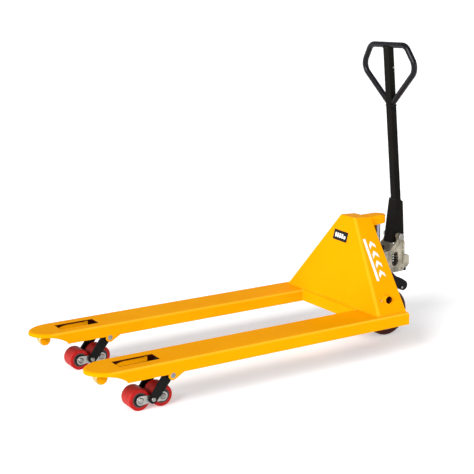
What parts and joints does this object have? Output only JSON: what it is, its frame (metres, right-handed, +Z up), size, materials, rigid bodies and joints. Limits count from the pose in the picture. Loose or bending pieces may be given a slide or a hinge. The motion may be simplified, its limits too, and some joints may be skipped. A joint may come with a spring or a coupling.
{
  "type": "pallet jack",
  "caption": "Hand pallet truck with two long forks, a folded tower, a hydraulic pump, steering wheels, load rollers and a tall loop handle that steers and pumps.",
  "frame": {"origin": "on the floor under the middle of the outline", "axes": "+Z up, forks point along -Y, +X to the side so that the steering wheels' axle is along X at rest"},
  "size_m": [0.685, 1.618, 1.2203],
  "materials": {
    "yellow_paint": "gloss",
    "black_paint": "gloss",
    "steel": "machined",
    "chromed": "polished",
    "casting": "rough grey",
    "roller_red": "cast polyurethane",
    "tyre_dark": "matt",
    "hub_grey": "painted grey",
    "label": "printed",
    "spring_steel": "oiled",
    "brass_fitting": "plated"
  },
  "bodies": {
    "fork_frame": {"fork_left": "yellow_paint", "fork_right": "yellow_paint", "cross_plate": "yellow_paint", "tower_shell": "yellow_paint", "top_cap": "yellow_paint", "pivot_lugs": "yellow_paint", "arm_pivot_pins": "steel", "fork_stiffeners": "yellow_paint", "entry_roller_brackets": "yellow_paint", "shaft_bushes": "yellow_paint", "grease_nipples": "brass_fitting", "label_plate": "label", "piston_rod": "chromed"},
    "rocker": {"rocker_arms": "black_paint", "torsion_shaft": "steel", "crank_arms": "black_paint", "rocker_pins": "steel"},
    "carriage": {"thrust_plate": "black_paint", "thrust_bearing": "steel"},
    "pump": {"pump_cylinder": "casting", "gland_nut": "black_paint", "pump_casting": "casting", "valve_block": "casting", "pump_spring": "spring_steel", "handle_pivot_pin": "steel", "steer_axle": "steel", "release_pivot": "black_paint"},
    "plunger": {"pump_plunger": "steel"},
    "handle": {"handle_socket": "black_paint", "handle_post": "black_paint", "handle_loop": "black_paint", "push_roller": "steel", "control_pin": "steel"},
    "control": {"control_lever": "black_paint"},
    "release": {"release_lever": "black_paint", "release_lever_pin": "steel"},
    "push_rod_left": {"push_rod_left": "black_paint"},
    "arm_left": {"roller_arm_left": "black_paint", "arm_pins_left": "steel"},
    "bogie_left": {"bogie_plates_left": "hub_grey", "load_axles_left": "steel"},
    "entry_left": {"entry_roller_left": "roller_red"},
    "wheel_left": {"steer_tyre_left": "tyre_dark", "steer_hub_left": "hub_grey"},
    "roller_front_left": {"load_tyre_front_left": "roller_red", "load_hub_front_left": "steel"},
    "roller_rear_left": {"load_tyre_rear_left": "roller_red", "load_hub_rear_left": "steel"},
    "push_rod_right": {"push_rod_right": "black_paint"},
    "arm_right": {"roller_arm_right": "black_paint", "arm_pins_right": "steel"},
    "bogie_right": {"bogie_plates_right": "hub_grey", "load_axles_right": "steel"},
    "entry_right": {"entry_roller_right": "roller_red"},
    "wheel_right": {"steer_tyre_right": "tyre_dark", "steer_hub_right": "hub_grey"},
    "roller_front_right": {"load_tyre_front_right": "roller_red", "load_hub_front_right": "steel"},
    "roller_rear_right": {"load_tyre_rear_right": "roller_red", "load_hub_rear_right": "steel"}
  },
  "joints": [
    {"name": "fork_lowering", "type": "slide", "parent": "fork_frame", "child": "carriage", "axis": [0, 0, 1], "range_m": [-0.018, 0.091]},
    {"name": "steering", "type": "hinge", "parent": "carriage", "child": "pump", "pos_m": [0, 0.649, 0.1], "axis": [0, 0, 1], "range_deg": [-90, 90]},
    {"name": "handle_tilt", "type": "hinge", "parent": "pump", "child": "handle", "pos_m": [0, 0.738, 0.408], "axis": [-1, 0, 0], "range_deg": [0, 75]},
    {"name": "plunger_stroke", "type": "slide", "parent": "pump", "child": "plunger", "axis": [0, 0, -1], "range_m": [0, 0.036], "deforming": ["pump_spring"]},
    {"name": "control_squeeze", "type": "hinge", "parent": "handle", "child": "control", "pos_m": [0, 0.71136, 1.11609], "axis": [-1, 0, 0], "range_deg": [0, 8], "stiffness_Nm_per_rad": 2, "springref_deg": -5.73},
    {"name": "release_press", "type": "hinge", "parent": "pump", "child": "release", "pos_m": [0, 0.713, 0.246], "axis": [-1, 0, 0], "range_deg": [0, 6]},
    {"name": "rocker_turn", "type": "hinge", "parent": "fork_frame", "child": "rocker", "pos_m": [0, 0.485, 0.227], "axis": [1, 0, 0], "range_deg": [-9, 41]},
    {"name": "rod_slide_left", "type": "slide", "parent": "fork_frame", "child": "push_rod_left", "axis": [0, 1, 0], "range_m": [-0.007, 0.034]},
    {"name": "arm_swing_left", "type": "hinge", "parent": "fork_frame", "child": "arm_left", "pos_m": [0.2625, -0.51, 0.123], "axis": [1, 0, 0], "range_deg": [-56, 12]},
    {"name": "bogie_level_left", "type": "hinge", "parent": "arm_left", "child": "bogie_left", "pos_m": [0.2625, -0.577, 0.04], "axis": [1, 0, 0], "range_deg": [-12, 56]},
    {"name": "entry_spin_left", "type": "hinge", "parent": "fork_frame", "child": "entry_left", "pos_m": [0.2625, -0.752, 0.139], "axis": [1, 0, 0], "continuous": true},
    {"name": "wheel_spin_left", "type": "hinge", "parent": "pump", "child": "wheel_left", "pos_m": [0.057, 0.649, 0.1], "axis": [1, 0, 0], "continuous": true},
    {"name": "roller_spin_front_left", "type": "hinge", "parent": "bogie_left", "child": "roller_front_left", "pos_m": [0.2625, -0.621, 0.04], "axis": [1, 0, 0], "continuous": true},
    {"name": "roller_spin_rear_left", "type": "hinge", "parent": "bogie_left", "child": "roller_rear_left", "pos_m": [0.2625, -0.533, 0.04], "axis": [1, 0, 0], "continuous": true},
    {"name": "rod_slide_right", "type": "slide", "parent": "fork_frame", "child": "push_rod_right", "axis": [0, 1, 0], "range_m": [-0.007, 0.034]},
    {"name": "arm_swing_right", "type": "hinge", "parent": "fork_frame", "child": "arm_right", "pos_m": [-0.2625, -0.51, 0.123], "axis": [1, 0, 0], "range_deg": [-56, 12]},
    {"name": "bogie_level_right", "type": "hinge", "parent": "arm_right", "child": "bogie_right", "pos_m": [-0.2625, -0.577, 0.04], "axis": [1, 0, 0], "range_deg": [-12, 56]},
    {"name": "entry_spin_right", "type": "hinge", "parent": "fork_frame", "child": "entry_right", "pos_m": [-0.2625, -0.752, 0.139], "axis": [1, 0, 0], "continuous": true},
    {"name": "wheel_spin_right", "type": "hinge", "parent": "pump", "child": "wheel_right", "pos_m": [-0.057, 0.649, 0.1], "axis": [1, 0, 0], "continuous": true},
    {"name": "roller_spin_front_right", "type": "hinge", "parent": "bogie_right", "child": "roller_front_right", "pos_m": [-0.2625, -0.621, 0.04], "axis": [1, 0, 0], "continuous": true},
    {"name": "roller_spin_rear_right", "type": "hinge", "parent": "bogie_right", "child": "roller_rear_right", "pos_m": [-0.2625, -0.533, 0.04], "axis": [1, 0, 0], "continuous": true}
  ],
  "couplings": [
    {"joint": "plunger_stroke", "follows": "handle_tilt", "m_per_rad": 0.0265},
    {"joint": "release_press", "follows": "control_squeeze", "ratio": 0.7},
    {"joint": "rocker_turn", "follows": "fork_lowering", "rad_per_m": 7.7293},
    {"joint": "rod_slide_left", "follows": "fork_lowering", "ratio": 0.3678},
    {"joint": "arm_swing_left", "follows": "fork_lowering", "rad_per_m": -10.625},
    {"joint": "bogie_level_left", "follows": "fork_lowering", "rad_per_m": 10.625},
    {"joint": "rod_slide_right", "follows": "fork_lowering", "ratio": 0.3678},
    {"joint": "arm_swing_right", "follows": "fork_lowering", "rad_per_m": -10.625},
    {"joint": "bogie_level_right", "follows": "fork_lowering", "rad_per_m": 10.625}
  ]
}
